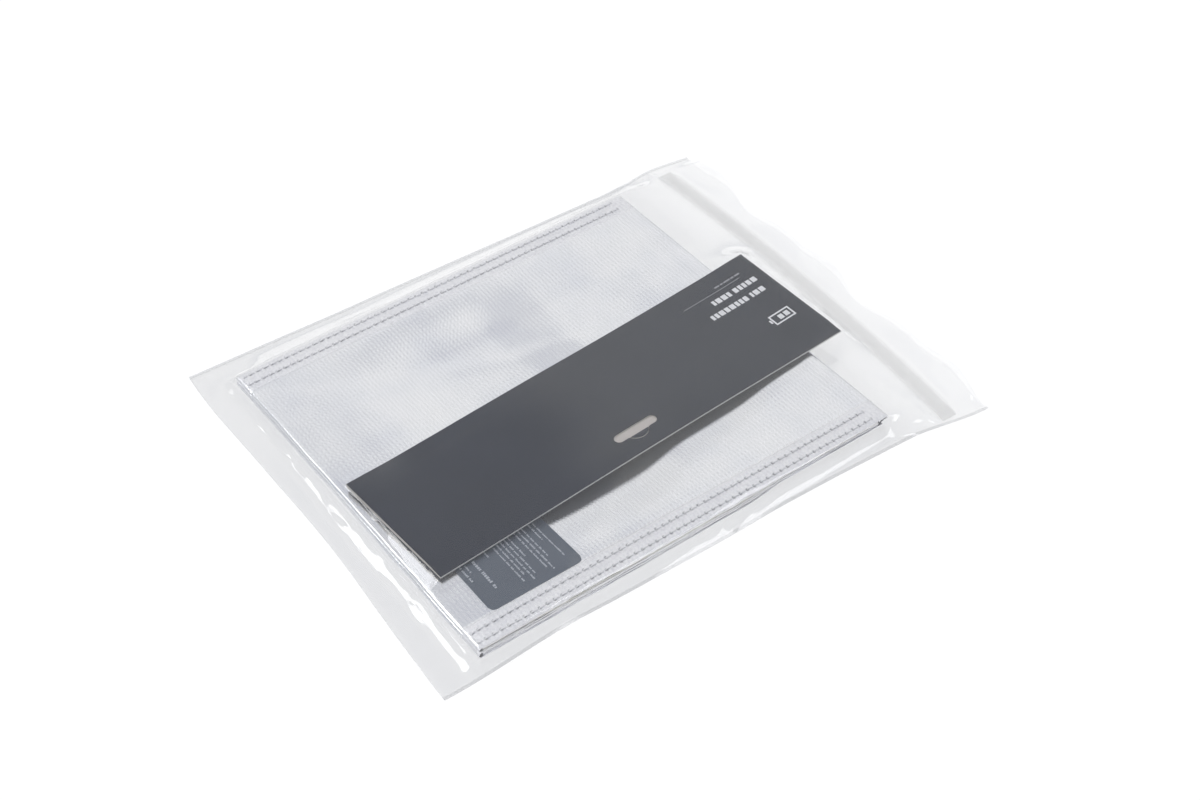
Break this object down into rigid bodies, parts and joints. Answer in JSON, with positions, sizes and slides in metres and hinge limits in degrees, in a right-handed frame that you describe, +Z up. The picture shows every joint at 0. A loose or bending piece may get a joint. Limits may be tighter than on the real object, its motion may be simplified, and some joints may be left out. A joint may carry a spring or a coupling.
{
  "type": "battery safe bag in sleeve",
  "caption": "Flat fire-resistant battery pouch in silver cloth with a hook-and-loop flap, packed with a folded header card in a clear press-seal sleeve.",
  "frame": {"origin": "centre of the sleeve's footprint, on its underside", "axes": "+X from the sleeve's folded end to its press-seal mouth, +Z up through the stack, +Y across"},
  "size_m": [0.3026, 0.2436, 0.0095],
  "materials": {
    "clear_film": "clear thin film, soft gloss",
    "zip_plastic": "clear, slightly milky profile",
    "silver_cloth": "aluminised woven glass cloth, glossy",
    "glass_cloth": "woven glass cloth, matt",
    "thread": "twisted thread",
    "hook_tape": "hook tape",
    "loop_tape": "loop tape, fleecy",
    "card_print": "printed card, satin",
    "label_ink": "transfer print, satin"
  },
  "bodies": {
    "sleeve": {"sleeve_back_film": "clear_film", "sleeve_front_film": "clear_film", "sleeve_bottom_fold": "clear_film", "sleeve_weld_left": "clear_film", "sleeve_weld_right": "clear_film", "zip_claw_strip": "zip_plastic"},
    "sleeve_lip": {"sleeve_front_lip": "clear_film", "zip_ridge_strip": "zip_plastic"},
    "safe_bag": {"outer_cloth_front": "silver_cloth", "outer_cloth_gusset": "silver_cloth", "outer_cloth_back": "silver_cloth", "lining_front": "glass_cloth", "lining_gusset": "glass_cloth", "lining_back": "glass_cloth", "seam_allowance_left": "glass_cloth", "seam_allowance_right": "glass_cloth", "needle_thread_left": "thread", "needle_thread_right": "thread", "bobbin_thread_left": "thread", "bobbin_thread_right": "thread", "loop_tape": "loop_tape", "loop_tape_thread": "thread", "printed_label": "label_ink", "mouth_fold_cloth": "silver_cloth", "mouth_fold_lining": "glass_cloth"},
    "flap": {"flap_cloth": "silver_cloth", "flap_lining": "glass_cloth", "flap_hem_thread": "thread", "hook_tape": "hook_tape", "hook_tape_thread": "thread"},
    "card": {"header_card": "card_print", "hang_slot_tab_front": "card_print", "hang_slot_tab_back": "card_print"}
  },
  "joints": [
    {"name": "bag_slide", "type": "slide", "parent": "sleeve", "child": "safe_bag", "axis": [1, 0, 0], "range_m": [0, 0.31], "deforming": ["sleeve_front_film", "sleeve_front_lip", "zip_ridge_strip", "zip_claw_strip"]},
    {"name": "flap_hinge", "type": "hinge", "parent": "safe_bag", "child": "flap", "pos_m": [0.09828, 0.00247, 0.00428], "axis": [0.033, -0.9995, 0], "range_deg": [0, 178], "deforming": ["sleeve_front_film", "sleeve_front_lip", "zip_ridge_strip", "zip_claw_strip", "mouth_fold_cloth", "mouth_fold_lining", "sleeve_back_film"]},
    {"name": "card_slide", "type": "slide", "parent": "sleeve", "child": "card", "axis": [1, 0, 0], "range_m": [0, 0.31], "deforming": ["sleeve_front_film", "sleeve_front_lip", "zip_ridge_strip", "zip_claw_strip"]},
    {"name": "mouth_open", "type": "hinge", "parent": "sleeve", "child": "sleeve_lip", "pos_m": [0.104, 0, 0.0095], "axis": [0, -1, 0], "range_deg": [0, 24], "deforming": ["sleeve_front_lip", "sleeve_front_film"]}
  ],
  "couplings": [
    {"joint": "mouth_open", "follows": "flap_hinge", "ratio": 0.13483}
  ]
}
